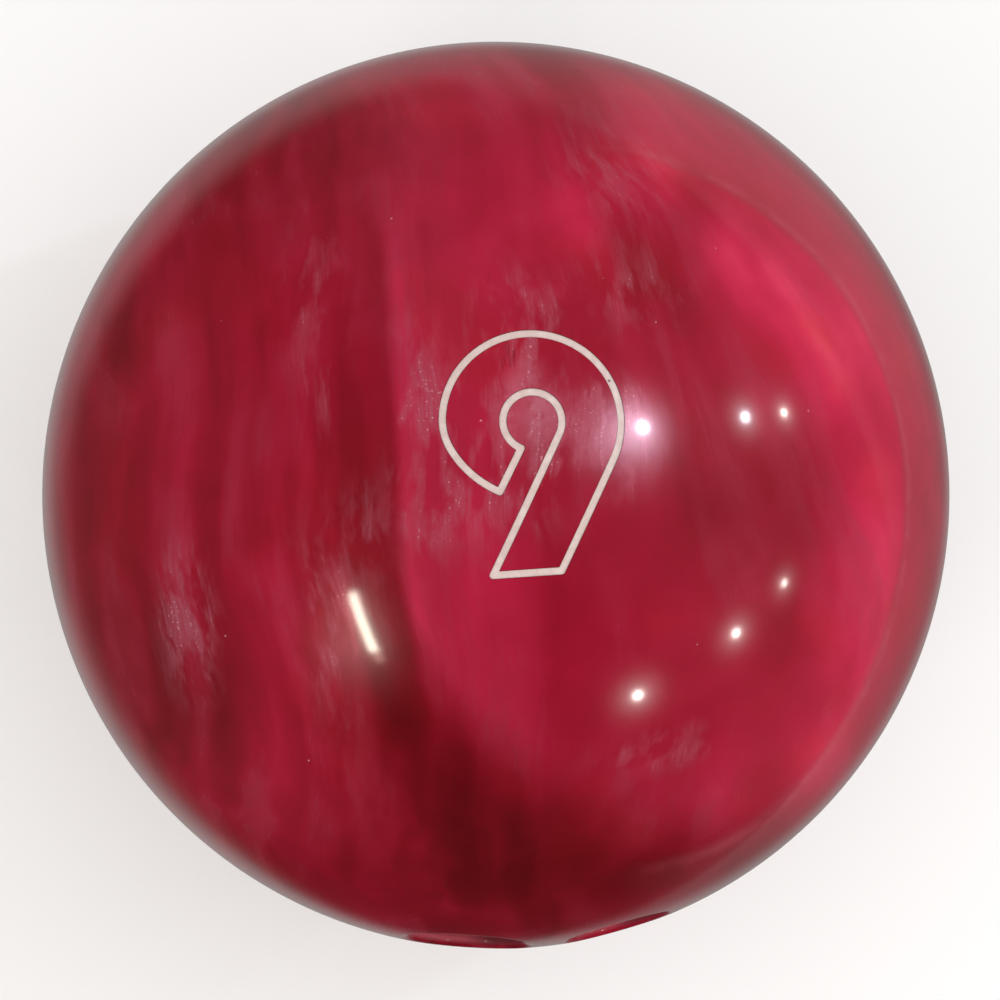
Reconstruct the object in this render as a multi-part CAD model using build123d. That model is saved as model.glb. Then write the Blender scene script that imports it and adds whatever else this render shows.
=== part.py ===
from build123d import *
import math
import os

# Ten-pin bowling ball of the three-piece kind: a weight block, a filler core
# and a cast polyester cover.  All sizes are in millimetres.
# The origin is the middle of the ball.  +Z goes through the middle of the
# engraved weight number, +Y is the way the number's top points, and the
# finger holes are on the -Y side.

# ---- the ball -------------------------------------------------------------
ball_radius = 108.6            # 8.55 in across, inside the 8.500 to 8.595 in rule
cover_thickness = 12.7         # 1/2 in of polyester
core_radius = ball_radius - cover_thickness

# ---- the grip: two finger holes and a thumb hole --------------------------
middle_hole_radius = 13.1      # 1-1/32 in drill
ring_hole_radius = 11.3        # 57/64 in drill
thumb_hole_radius = 13.9       # 1-3/32 in drill
rim_rounding = 2.4
finger_elevation = 10.3        # degrees above the ball's equator
middle_azimuth = -8.3          # degrees from -Y toward +X
ring_azimuth = 10.7
finger_side_pitch = 12.7       # each finger hole is aimed 1/2 in past the middle
span_angle = 56.0              # finger holes to thumb hole, over the surface
finger_depth = 60.0            # straight part, from the ball's surface
thumb_depth = 64.0
drill_point_height = 3.0       # the shallow cone a drill leaves

# ---- the weight block under the grip --------------------------------------
block_radius = 38.0
block_height = 14.0
block_edge_rounding = 3.0

# ---- the plug left by the moulding pin, and the balance mark --------------
pin_radius = 3.95
mark_offset = 19.0             # from the pin, toward the ring-finger side
mark_radius = 2.4              # middle line of the little ring
mark_stroke = 0.8
mark_depth = 0.6

# ---- the outlined weight number -------------------------------------------
bowl_radius = 18.2             # middle line of the outer curve
counter_radius = 6.0           # middle line of the inner curve
bowl_height = 6.9              # how far the two curves' middle is above +Z
foot_height = -23.6            # the flat foot
stem_angle = 61.2              # slope of the two long sides, degrees
hook_start_angle = 243.2       # where the hook leaves the inner curve
shoulder_angle = 172.0         # where the outer curve begins to draw in
shoulder_radius = 12.1
tail_radius = 21.2             # the flatter curve that ends at the hook's tip
tail_turn = 35.5               # degrees turned by each of those two curves
stroke_width = 1.45            # the engraving cutter's diameter
groove_depth = 1.0
inlay_recess = 0.2             # the white fill stops this far below the surface


def direction(elevation, azimuth):
    """Unit vector; azimuth is measured from -Y toward +X."""
    e = math.radians(elevation)
    a = math.radians(azimuth)
    return Vector(math.cos(e) * math.sin(a), -math.cos(e) * math.cos(a), math.sin(e))


middle_direction = direction(finger_elevation, middle_azimuth)
ring_direction = direction(finger_elevation, ring_azimuth)
grip_azimuth = (middle_azimuth + ring_azimuth) / 2
grip_direction = direction(finger_elevation - span_angle / 2, grip_azimuth)
thumb_direction = direction(finger_elevation - span_angle, grip_azimuth)
side_direction = Vector(
    math.cos(math.radians(grip_azimuth)),
    math.sin(math.radians(grip_azimuth)),
    0,
)


def pitched_axis(mouth_direction, side_pitch):
    """Axis out of a hole whose drill is aimed side_pitch beside the middle."""
    mouth = mouth_direction * ball_radius
    target = side_direction * side_pitch
    return (mouth - target).normalized()


middle_axis = pitched_axis(middle_direction, -finger_side_pitch)
ring_axis = pitched_axis(ring_direction, finger_side_pitch)
thumb_axis = pitched_axis(thumb_direction, 0)


def drill(mouth_direction, axis, radius, depth):
    """Solid swept by a drill: a bar with a shallow point, from well outside."""
    overshoot = 20.0
    mouth = mouth_direction * ball_radius
    profile = Polyline(
        (0, overshoot),
        (radius, overshoot),
        (radius, -depth),
        (0, -depth - drill_point_height),
        close=True,
    )
    bar = revolve(make_face(Plane.XZ * profile), Axis.Z)
    return Plane(origin=mouth, z_dir=axis) * bar


def grip_drills():
    return [
        drill(middle_direction, middle_axis, middle_hole_radius, finger_depth),
        drill(ring_direction, ring_axis, ring_hole_radius, finger_depth),
        drill(thumb_direction, thumb_axis, thumb_hole_radius, thumb_depth),
    ]


def grip_plane():
    """Plane on the grip's middle line, at the ball's centre, facing out."""
    return Plane(origin=(0, 0, 0), x_dir=side_direction, z_dir=grip_direction)


def on_circle(radius, angle):
    a = math.radians(angle)
    return (radius * math.cos(a), bowl_height + radius * math.sin(a))


def number_centre_line():
    """Closed middle line of the outlined nine, seen from outside the ball."""
    touch_angle = stem_angle - 90
    rise = math.tan(math.radians(stem_angle))
    counter_end = on_circle(counter_radius, touch_angle)
    bowl_start = on_circle(bowl_radius, touch_angle)
    foot_left = (counter_end[0] - (counter_end[1] - foot_height) / rise, foot_height)
    foot_right = (bowl_start[0] - (bowl_start[1] - foot_height) / rise, foot_height)
    shoulder_start = on_circle(bowl_radius, shoulder_angle)
    heading = math.radians(shoulder_angle + 90)
    shoulder = JernArc(
        shoulder_start,
        (math.cos(heading), math.sin(heading)),
        shoulder_radius,
        tail_turn,
    )
    tail = JernArc(shoulder @ 1, shoulder % 1, tail_radius, tail_turn)
    hook_start = on_circle(counter_radius, hook_start_angle)
    return Wire(
        [
            ThreePointArc(hook_start, on_circle(counter_radius, 100), counter_end),
            Line(counter_end, foot_left),
            Line(foot_left, foot_right),
            Line(foot_right, bowl_start),
            ThreePointArc(bowl_start, on_circle(bowl_radius, 70), shoulder_start),
            shoulder,
            tail,
            Line(tail @ 1, hook_start),
        ]
    )


def number_band():
    """The stroke of the outlined nine as a tall standing band."""
    line = number_centre_line()
    outside = make_face(line.offset_2d(stroke_width / 2, kind=Kind.ARC))
    inside = make_face(line.offset_2d(-stroke_width / 2, kind=Kind.INTERSECTION))
    band = outside - inside
    return Pos(0, 0, ball_radius - 12) * extrude(band, 24, dir=(0, 0, 1))


def mark_band():
    """The little balance-mark ring as a standing tube on the grip plane."""
    ring = Circle(mark_radius + mark_stroke / 2) - Circle(mark_radius - mark_stroke / 2)
    tube = extrude(ring, 12, dir=(0, 0, 1))
    tilt = math.degrees(mark_offset / ball_radius)
    plane = grip_plane()
    return plane * (Rot(0, tilt, 0) * (Pos(0, 0, ball_radius - 6) * tube))


def pin_bar(bottom, top):
    bar = extrude(Circle(pin_radius), top - bottom, dir=(0, 0, 1))
    return grip_plane() * (Pos(0, 0, bottom) * bar)


def shell(outer, inner):
    return Sphere(outer) - Sphere(inner)


def make_weight_block():
    """Domed pancake whose top fits under the cover and whose foot is flat."""
    rim_height = math.sqrt(core_radius ** 2 - block_radius ** 2)
    bottom = core_radius - block_height
    bar = Pos(0, 0, bottom) * extrude(Circle(block_radius), 30, dir=(0, 0, 1))
    block = bar & Sphere(core_radius)
    if rim_height - bottom > block_edge_rounding:
        foot = block.edges().sort_by(Axis.Z)[0]
        block = fillet(foot, block_edge_rounding)
    return grip_plane() * block


def make_coverstock():
    cover = shell(ball_radius, core_radius)
    for tool in grip_drills():
        cover = cover - tool
    mouths = []
    for edge in cover.edges():
        far = edge.center(CenterOf.BOUNDING_BOX).length
        on_outside = abs(edge.start_point().length - ball_radius) < 0.01
        if on_outside and edge.is_closed and far < ball_radius:
            mouths.append(edge)
    cover = fillet(mouths, rim_rounding)
    cover = cover - pin_bar(core_radius - 5, ball_radius + 5)
    cover = cover - (number_band() & shell(ball_radius + 5, ball_radius - groove_depth))
    cover = cover - (mark_band() & shell(ball_radius + 5, ball_radius - mark_depth))
    return cover


def make_filler_core(weight_block):
    core = Sphere(core_radius) - weight_block
    for tool in grip_drills():
        core = core - tool
    return core


def make_locator_pin():
    bar = pin_bar(core_radius - 5, ball_radius + 5)
    return bar & shell(ball_radius, core_radius)


def make_number_inlay():
    top = ball_radius - inlay_recess
    return number_band() & shell(top, ball_radius - groove_depth)


def make_balance_mark_inlay():
    return mark_band() & shell(ball_radius - inlay_recess, ball_radius - mark_depth)


def main():
    os.makedirs("parts", exist_ok=True)
    whole_block = make_weight_block()
    drilled_block = whole_block
    for tool in grip_drills():
        drilled_block = drilled_block - tool
    pieces = {
        "coverstock": make_coverstock(),
        "filler_core": make_filler_core(whole_block),
        "weight_block": drilled_block,
        "locator_pin": make_locator_pin(),
        "number_inlay": make_number_inlay(),
        "balance_mark_inlay": make_balance_mark_inlay(),
    }
    for name, piece in pieces.items():
        solids = piece.solids()
        print(name, len(solids), "solid(s)", round(piece.volume / 1000, 2), "cm3")
        shape = solids[0] if len(solids) == 1 else Compound(children=list(solids))
        export_step(shape, "parts/" + name + ".step")
    for name, mouth, axis in (
        ("middle", middle_direction, middle_axis),
        ("ring", ring_direction, ring_axis),
        ("thumb", thumb_direction, thumb_axis),
    ):
        print(name, "mouth", tuple(round(v, 4) for v in mouth * ball_radius))
        print(name, "axis", tuple(round(v, 6) for v in axis))
    print("grip", tuple(round(v, 6) for v in grip_direction))


main()
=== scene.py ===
import math

import bmesh
import bpy
import numpy as np
from mathutils import Matrix, Vector, geometry


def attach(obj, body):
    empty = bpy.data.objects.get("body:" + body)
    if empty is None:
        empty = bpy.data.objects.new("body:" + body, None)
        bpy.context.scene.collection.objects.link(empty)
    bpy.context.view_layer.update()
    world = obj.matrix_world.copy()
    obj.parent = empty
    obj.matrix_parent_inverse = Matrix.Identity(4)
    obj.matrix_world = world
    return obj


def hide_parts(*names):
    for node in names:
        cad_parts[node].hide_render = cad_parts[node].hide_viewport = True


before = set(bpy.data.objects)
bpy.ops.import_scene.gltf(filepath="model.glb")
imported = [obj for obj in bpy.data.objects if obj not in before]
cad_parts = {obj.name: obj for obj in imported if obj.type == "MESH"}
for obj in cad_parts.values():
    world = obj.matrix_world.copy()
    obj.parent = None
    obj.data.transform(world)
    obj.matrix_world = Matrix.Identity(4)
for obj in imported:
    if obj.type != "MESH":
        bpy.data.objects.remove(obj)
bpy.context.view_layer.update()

# Everything below is in metres, in the row's frame: the origin is the ball's
# middle, +Z goes through the middle of the weight number, and the finger
# holes are on the -Y side.

MM = 0.001

# ---- sizes, the same as in the CAD ----------------------------------------
BALL = 108.6 * MM
CORE = BALL - 12.7 * MM
MIDDLE_HOLE = 13.1 * MM
RING_HOLE = 11.3 * MM
THUMB_HOLE = 13.9 * MM
RIM_ROUND = 2.4 * MM
FINGER_ELEVATION = 10.3
MIDDLE_AZIMUTH = -8.3
RING_AZIMUTH = 10.7
SIDE_PITCH = 12.7 * MM
SPAN_ANGLE = 56.0
FINGER_DEPTH = 60.0 * MM
THUMB_DEPTH = 64.0 * MM
DRILL_POINT = 3.0 * MM
BLOCK_RADIUS = 38.0 * MM
BLOCK_HEIGHT = 14.0 * MM
BLOCK_EDGE = 3.0 * MM
PIN_RADIUS = 3.95 * MM
MARK_OFFSET = 19.0 * MM
MARK_RADIUS = 2.4 * MM
MARK_STROKE = 0.8 * MM
MARK_DEPTH = 0.6 * MM
BOWL_RADIUS = 18.2 * MM
COUNTER_RADIUS = 6.0 * MM
BOWL_HEIGHT = 6.9 * MM
FOOT_HEIGHT = -23.6 * MM
STEM_ANGLE = 61.2
HOOK_START_ANGLE = 243.2
SHOULDER_ANGLE = 172.0
SHOULDER_RADIUS = 12.1 * MM
TAIL_RADIUS = 21.2 * MM
TAIL_TURN = 35.5
STROKE = 1.45 * MM
GROOVE_DEPTH = 1.0 * MM
INLAY_RECESS = 0.2 * MM
# the groove's walls carry a painted shade that makes this dark line
PAINT_GAP = 0.07 * MM          # the groove shows as a thin dark line round the paint

# ---- mesh fineness and the slack between pieces cast in one another --------
COVER_CELLS, CORE_CELLS, HOLLOW_CELLS = 92, 40, 32
CAST_GAP = 0.02 * MM
FILL_LIFT = 0.01 * MM          # the paint stops this far above its groove's floor
PLUG_GAP = 0.03 * MM
PLUG_BEVEL = 0.08 * MM
FLARE_REACH, FLARE_TIP = 1.12, 1.16   # how far the hole cutters stand out, times BALL
MITRE_TURN = 0.15              # radians; sharper corners of the number are rounded


# ---------------------------------------------------------------------------
# Directions and hole axes
# ---------------------------------------------------------------------------

def direction(elevation, azimuth):
    """Unit vector; azimuth is in degrees from -Y toward +X."""
    e, a = math.radians(elevation), math.radians(azimuth)
    return np.array([math.cos(e) * math.sin(a), -math.cos(e) * math.cos(a), math.sin(e)])


def unit(v):
    v = np.asarray(v, float)
    return v / np.linalg.norm(v)


GRIP_AZIMUTH = (MIDDLE_AZIMUTH + RING_AZIMUTH) / 2
GRIP = direction(FINGER_ELEVATION - SPAN_ANGLE / 2, GRIP_AZIMUTH)
SIDE = np.array([math.cos(math.radians(GRIP_AZIMUTH)), math.sin(math.radians(GRIP_AZIMUTH)), 0])


class Hole:
    """A drilled hole: where its axis meets the ball, that axis, its sizes."""

    def __init__(self, name, mouth_direction, radius, depth, side_pitch):
        self.name = name
        self.mouth = mouth_direction * BALL
        self.axis = unit(self.mouth - SIDE * side_pitch)
        self.radius = radius
        self.depth = depth
        self.u = unit(np.cross(self.axis, [0, 0, 1]))
        self.v = np.cross(self.axis, self.u)

    def spoke(self, angle):
        return math.cos(angle) * self.u + math.sin(angle) * self.v

    def rolling_centre(self, angle):
        """Middle of the ball of RIM_ROUND that touches wall and surface."""
        across = self.radius + RIM_ROUND
        along = float(self.mouth @ self.axis)
        base = BALL ** 2 + across ** 2 + 2 * across * float(self.mouth @ self.spoke(angle))
        rise = -along + math.sqrt(along ** 2 - base + (BALL - RIM_ROUND) ** 2)
        return self.mouth + rise * self.axis + across * self.spoke(angle)


HOLES = [
    Hole("middle", direction(FINGER_ELEVATION, MIDDLE_AZIMUTH), MIDDLE_HOLE, FINGER_DEPTH, -SIDE_PITCH),
    Hole("ring", direction(FINGER_ELEVATION, RING_AZIMUTH), RING_HOLE, FINGER_DEPTH, SIDE_PITCH),
    Hole("thumb", direction(FINGER_ELEVATION - SPAN_ANGLE, GRIP_AZIMUTH), THUMB_HOLE, THUMB_DEPTH, 0),
]


# ---------------------------------------------------------------------------
# Mesh helpers
# ---------------------------------------------------------------------------

def new_object(name, vertices, faces):
    mesh = bpy.data.meshes.new(name)
    mesh.from_pydata([tuple(v) for v in vertices], [], faces)
    mesh.validate()
    mesh.update()
    obj = bpy.data.objects.new(name, mesh)
    bpy.context.scene.collection.objects.link(obj)
    return obj


def recalculate(obj):
    """Merge doubled points and turn every face outward."""
    bm = bmesh.new()
    bm.from_mesh(obj.data)
    bmesh.ops.remove_doubles(bm, verts=bm.verts, dist=1e-7)
    bmesh.ops.recalc_face_normals(bm, faces=bm.faces)
    bm.to_mesh(obj.data)
    bm.free()
    return obj


def cube_sphere(name, radius, cells):
    """A sphere of even quads: a cube's grid with equal angles, swelled out."""
    steps = np.tan(np.linspace(-math.pi / 4, math.pi / 4, cells + 1))
    a, b = np.meshgrid(steps, steps, indexing="ij")
    one = np.ones_like(a)
    sides = [(one, a, b), (-one, b, a), (b, one, a), (a, -one, b), (a, b, one), (b, a, -one)]
    vertices, faces = [], []
    width = cells + 1
    for side in sides:
        start = len(vertices) * width * width
        grid = np.stack(side, -1).reshape(-1, 3)
        vertices.append(grid / np.linalg.norm(grid, axis=1)[:, None] * radius)
        i, j = np.meshgrid(np.arange(cells), np.arange(cells), indexing="ij")
        corner = (start + i * width + j).ravel()
        faces.append(np.stack([corner, corner + width, corner + width + 1, corner + 1], -1))
    obj = new_object(name, np.concatenate(vertices), np.concatenate(faces).tolist())
    return recalculate(obj)


def rings_to_solid(name, rings, first, last):
    """A closed skin through rings of equal length, with a point at each end."""
    count = len(rings[0])
    vertices = [first] + [p for ring in rings for p in ring] + [last]
    faces = []
    for k in range(count):
        n = (k + 1) % count
        faces.append((0, 1 + n, 1 + k))
        for r in range(len(rings) - 1):
            low, high = 1 + r * count, 1 + (r + 1) * count
            faces.append((low + k, low + n, high + n, high + k))
        top = 1 + (len(rings) - 1) * count
        faces.append((len(vertices) - 1, top + k, top + n))
    return recalculate(new_object(name, vertices, faces))


def hole_cutter(hole, columns=120, arc_steps=12, flare=True):
    """What the drill and the rounding of the mouth take away."""
    angles = [2 * math.pi * k / columns for k in range(columns)]

    def wall_ring(height):
        return [hole.mouth + height * hole.axis + hole.radius * hole.spoke(a) for a in angles]

    rings = [wall_ring(-hole.depth), wall_ring(-0.5 * hole.depth)]
    if flare:
        for step in range(arc_steps + 1):
            ring = []
            for a in angles:
                c = hole.rolling_centre(a)
                start, end = -hole.spoke(a), unit(c)
                full = math.acos(float(start @ end))
                t = step / arc_steps
                n = (math.sin((1 - t) * full) * start + math.sin(t * full) * end) / math.sin(full)
                ring.append(c + RIM_ROUND * n)
            rings.append(ring)
        rings.append([p * FLARE_REACH for p in rings[-1]])
        top = hole.mouth * FLARE_TIP
    else:
        rings.append(wall_ring(20 * MM))
        top = hole.mouth + 22 * MM * hole.axis
    bottom = hole.mouth - (hole.depth + DRILL_POINT) * hole.axis
    return rings_to_solid("cut_" + hole.name, rings, bottom, top)


def grip_frame(tilt=0.0):
    """Axes with Z out through the middle of the grip, leaning by tilt toward SIDE."""
    z = unit(math.cos(tilt) * GRIP + math.sin(tilt) * SIDE)
    x = unit(SIDE - z * float(SIDE @ z))
    return x, np.cross(z, x), z


def bar(name, axes, profile, columns=64):
    """A turned solid on axes; profile is (radius, height) from bottom to top."""
    x, y, z = axes
    rings = []
    for radius, height in profile[1:-1]:
        rings.append([
            height * z + radius * (math.cos(a) * x + math.sin(a) * y)
            for a in (2 * math.pi * k / columns for k in range(columns))
        ])
    return rings_to_solid(name, rings, profile[0][1] * z, profile[-1][1] * z)


def cut(target, tool):
    """Take the tool's solid away from the target and throw the tool away."""
    modifier = target.modifiers.new("cut", "BOOLEAN")
    modifier.operation = "DIFFERENCE"
    modifier.solver = "MANIFOLD"
    modifier.object = tool
    depsgraph = bpy.context.evaluated_depsgraph_get()
    mesh = bpy.data.meshes.new_from_object(target.evaluated_get(depsgraph))
    target.modifiers.clear()
    old = target.data
    target.data = mesh
    bpy.data.meshes.remove(old)
    mesh = tool.data
    bpy.data.objects.remove(tool)
    bpy.data.meshes.remove(mesh)


def clean_cut(obj):
    """Merge the doubled points that cutting leaves."""
    bm = bmesh.new()
    bm.from_mesh(obj.data)
    bmesh.ops.remove_doubles(bm, verts=bm.verts, dist=2e-7)
    bmesh.ops.dissolve_degenerate(bm, dist=1e-7, edges=bm.edges)
    bm.to_mesh(obj.data)
    bm.free()


# ---------------------------------------------------------------------------
# The outlined weight number
# ---------------------------------------------------------------------------

def arc_points(centre, radius, start, end, spacing):
    count = max(2, int(abs(math.radians(end - start)) * radius / spacing))
    angles = np.radians(np.linspace(start, end, count + 1))
    return [(centre[0] + radius * math.cos(a), centre[1] + radius * math.sin(a)) for a in angles]


def line_points(start, end, spacing):
    start, end = np.array(start), np.array(end)
    count = max(2, int(np.linalg.norm(end - start) / spacing))
    return [tuple(start + (end - start) * t) for t in np.linspace(0, 1, count + 1)]


def number_line(spacing=0.35 * MM):
    """Closed middle line of the outlined nine, as points on the plane z = 0."""
    middle = (0.0, BOWL_HEIGHT)
    touch = STEM_ANGLE - 90

    def on(radius, angle):
        a = math.radians(angle)
        return (radius * math.cos(a), BOWL_HEIGHT + radius * math.sin(a))

    rise = math.tan(math.radians(STEM_ANGLE))
    counter_end, bowl_start = on(COUNTER_RADIUS, touch), on(BOWL_RADIUS, touch)
    foot_left = (counter_end[0] - (counter_end[1] - FOOT_HEIGHT) / rise, FOOT_HEIGHT)
    foot_right = (bowl_start[0] - (bowl_start[1] - FOOT_HEIGHT) / rise, FOOT_HEIGHT)
    shoulder = on(BOWL_RADIUS, SHOULDER_ANGLE)
    facing = math.radians(SHOULDER_ANGLE)
    shoulder_middle = (
        shoulder[0] - SHOULDER_RADIUS * math.cos(facing),
        shoulder[1] - SHOULDER_RADIUS * math.sin(facing),
    )
    shoulder_end = SHOULDER_ANGLE + TAIL_TURN
    facing = math.radians(shoulder_end)
    tail_middle = (
        shoulder_middle[0] + (SHOULDER_RADIUS - TAIL_RADIUS) * math.cos(facing),
        shoulder_middle[1] + (SHOULDER_RADIUS - TAIL_RADIUS) * math.sin(facing),
    )
    runs = [
        arc_points(middle, COUNTER_RADIUS, HOOK_START_ANGLE, touch, spacing),
        line_points(counter_end, foot_left, spacing),
        line_points(foot_left, foot_right, spacing),
        line_points(foot_right, bowl_start, spacing),
        arc_points(middle, BOWL_RADIUS, touch, SHOULDER_ANGLE, spacing),
        arc_points(shoulder_middle, SHOULDER_RADIUS, SHOULDER_ANGLE, shoulder_end, spacing),
        arc_points(tail_middle, TAIL_RADIUS, shoulder_end, shoulder_end + TAIL_TURN, spacing),
    ]
    runs.append(line_points(runs[-1][-1], on(COUNTER_RADIUS, HOOK_START_ANGLE), spacing))
    points = []
    for run in runs:
        points += run[:-1]
    return np.array(points)


def offset_loop(line, distance):
    """The line moved sideways, with round outer corners and clean inner ones."""
    count = len(line)
    nxt = np.roll(line, -1, 0)
    run = nxt - line
    run /= np.linalg.norm(run, axis=1)[:, None]
    normal = np.stack([run[:, 1], -run[:, 0]], -1)
    result = []
    for k in range(count):
        before, after = normal[k - 1], normal[k]
        turn = math.atan2(before[0] * after[1] - before[1] * after[0], float(before @ after))
        if abs(turn) < MITRE_TURN:
            result.append(line[k] + distance * unit(before + after))
        elif turn * distance > 0:
            for t in np.linspace(0, 1, 9):
                a = turn * t
                n = np.array([
                    before[0] * math.cos(a) - before[1] * math.sin(a),
                    before[0] * math.sin(a) + before[1] * math.cos(a),
                ])
                result.append(line[k] + distance * n)
        else:
            half = unit(before + after)
            result.append(line[k] + distance / math.cos(turn / 2) * half)
    length = np.linalg.norm(nxt - line, axis=1)
    kept = []
    for p in result:
        along = np.einsum("ij,ij->i", p - line, run)
        foot = line + np.clip(along, 0, length)[:, None] * run
        gap = np.min(np.linalg.norm(p - foot, axis=1))
        if gap > abs(distance) * 0.985:
            kept.append(p)
    return np.array(kept)


def band_solid(name, outer, inner, top_radius, bottom_radius):
    """A closed ribbon between two loops, its top and foot on spheres."""
    flat = [Vector((p[0], p[1])) for p in outer] + [Vector((p[0], p[1])) for p in inner]
    n_out, n_in = len(outer), len(inner)
    edges = [(k, (k + 1) % n_out) for k in range(n_out)]
    edges += [(n_out + k, n_out + (k + 1) % n_in) for k in range(n_in)]
    result = geometry.delaunay_2d_cdt(flat, edges, [], 0, 1e-9)
    points, triangles = result[0], result[2]
    lines = np.array([(p[0], p[1]) for p in flat])
    kept = []
    for tri in triangles:
        c = sum((np.array(points[i]) for i in tri), np.zeros(2)) / 3
        if inside(c, lines[:n_out]) and not inside(c, lines[n_out:]):
            kept.append(tri)
    vertices = []
    for radius in (top_radius, bottom_radius):
        for p in points:
            vertices.append((p[0], p[1], math.sqrt(radius ** 2 - p[0] ** 2 - p[1] ** 2)))
    half = len(points)
    faces = [tuple(tri) for tri in kept]
    faces += [tuple(half + i for i in reversed(tri)) for tri in kept]
    sides = {}
    for tri in kept:
        for a, b in ((tri[0], tri[1]), (tri[1], tri[2]), (tri[2], tri[0])):
            sides[(a, b)] = True
    for a, b in sides:
        if (b, a) not in sides:
            faces.append((b, a, half + a, half + b))
    return recalculate(new_object(name, vertices, faces))


def inside(point, loop):
    """Whether a flat point lies inside a closed loop."""
    x, y = point
    nxt = np.roll(loop, -1, 0)
    crosses = (loop[:, 1] > y) != (nxt[:, 1] > y)
    with np.errstate(divide="ignore", invalid="ignore"):
        at = loop[:, 0] + (y - loop[:, 1]) / (nxt[:, 1] - loop[:, 1]) * (nxt[:, 0] - loop[:, 0])
    return bool(np.count_nonzero(crosses & (x < at)) % 2)


# ---------------------------------------------------------------------------
# Exact normals: a cut sphere shades as a sphere
# ---------------------------------------------------------------------------

def shade_exactly(obj, radii):
    """Custom normals from the true surfaces: spheres, hole walls and rims."""
    mesh = obj.data
    count = len(mesh.loops)
    loop_vertex = np.empty(count, np.int32)
    mesh.loops.foreach_get("vertex_index", loop_vertex)
    co = np.empty(len(mesh.vertices) * 3)
    mesh.vertices.foreach_get("co", co)
    points = co.reshape(-1, 3)[loop_vertex]
    totals = np.empty(len(mesh.polygons), np.int32)
    mesh.polygons.foreach_get("loop_total", totals)
    face_normals = np.empty(len(mesh.polygons) * 3)
    mesh.polygons.foreach_get("normal", face_normals)
    flat = np.repeat(face_normals.reshape(-1, 3), totals, axis=0)
    best = flat.copy()
    score = np.full(count, 0.93)

    def offer(normal, mask):
        fit = np.einsum("ij,ij->i", normal, flat)
        better = mask & (fit > score)
        best[better] = normal[better]
        score[better] = fit[better]

    distance = np.linalg.norm(points, axis=1)
    radial = points / np.maximum(distance, 1e-9)[:, None]
    for radius, sign in radii:
        offer(radial * sign, np.abs(distance - radius) < 0.02 * MM)
    for hole in HOLES:
        off = points - hole.mouth
        along = off @ hole.axis
        side = off - along[:, None] * hole.axis
        across = np.linalg.norm(side, axis=1)
        outward = side / np.maximum(across, 1e-9)[:, None]
        near = (across < hole.radius + RIM_ROUND * 1.6) & (along > -hole.depth - 0.1 * MM)
        offer(-outward, near & (np.abs(across - hole.radius) < 0.03 * MM))
        reach = hole.radius + RIM_ROUND
        m_along = float(hole.mouth @ hole.axis)
        base = BALL ** 2 + reach ** 2 + 2 * reach * (outward @ hole.mouth)
        root = np.sqrt(np.maximum(m_along ** 2 - base + (BALL - RIM_ROUND) ** 2, 0))
        centre = hole.mouth + (root - m_along)[:, None] * hole.axis + reach * outward
        away = points - centre
        length = np.linalg.norm(away, axis=1)
        on_round = near & (np.abs(length - RIM_ROUND) < 0.12 * MM)
        offer(away / np.maximum(length, 1e-9)[:, None], on_round)
    mesh.polygons.foreach_set("use_smooth", np.ones(len(mesh.polygons), bool))
    mesh.normals_split_custom_set([tuple(n) for n in best])
    mesh.update()


# ---------------------------------------------------------------------------
# Build the pieces
# ---------------------------------------------------------------------------

def build_cover():
    cover = cube_sphere("cover", BALL, COVER_CELLS)
    line = number_line()
    edge = STROKE / 2 + PAINT_GAP
    outer, inner = offset_loop(line, edge), offset_loop(line, -edge)
    tools = [hole_cutter(hole) for hole in HOLES]
    tools.append(band_solid("cut_number", outer, inner, BALL + 3 * MM, BALL - GROOVE_DEPTH))
    low, high = CORE - 4 * MM, BALL + 4 * MM
    pin_bore = [(0, low), (PIN_RADIUS, low), (PIN_RADIUS, high), (0, high)]
    tools.append(bar("cut_pin", grip_frame(), pin_bore))
    tools.append(mark_solid("cut_mark", BALL + 2 * MM, BALL - MARK_DEPTH))
    tools.append(cube_sphere("cut_core", CORE, HOLLOW_CELLS))
    for tool in tools:
        cut(cover, tool)
    clean_cut(cover)
    shade_exactly(cover, [(BALL, 1), (CORE, -1)])
    return cover


def mark_solid(name, top_radius, bottom_radius, columns=48):
    """The little ring that marks the heavy side, as a tube on the ball."""
    x, y, z = grip_frame(MARK_OFFSET / BALL)
    loops = []
    for radius in (MARK_RADIUS + MARK_STROKE / 2, MARK_RADIUS - MARK_STROKE / 2):
        for sphere in (top_radius, bottom_radius):
            height = math.sqrt(sphere ** 2 - radius ** 2)
            loops.append([
                height * z + radius * (math.cos(a) * x + math.sin(a) * y)
                for a in (2 * math.pi * k / columns for k in range(columns))
            ])
    outer_top, outer_low, inner_top, inner_low = range(4)
    vertices = [p for loop in loops for p in loop]
    faces = []
    for low, high in (
        (outer_low, outer_top), (outer_top, inner_top), (inner_top, inner_low), (inner_low, outer_low),
    ):
        for k in range(columns):
            n = (k + 1) % columns
            faces.append((low * columns + k, low * columns + n, high * columns + n, high * columns + k))
    return recalculate(new_object(name, vertices, faces))


def build_core():
    core = cube_sphere("core", CORE - CAST_GAP, CORE_CELLS)
    cut(core, block_solid("cut_block", 0.0))
    for hole in HOLES:
        cut(core, hole_cutter(hole, flare=False))
    clean_cut(core)
    shade_exactly(core, [(CORE - CAST_GAP, 1)])
    return core


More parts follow.
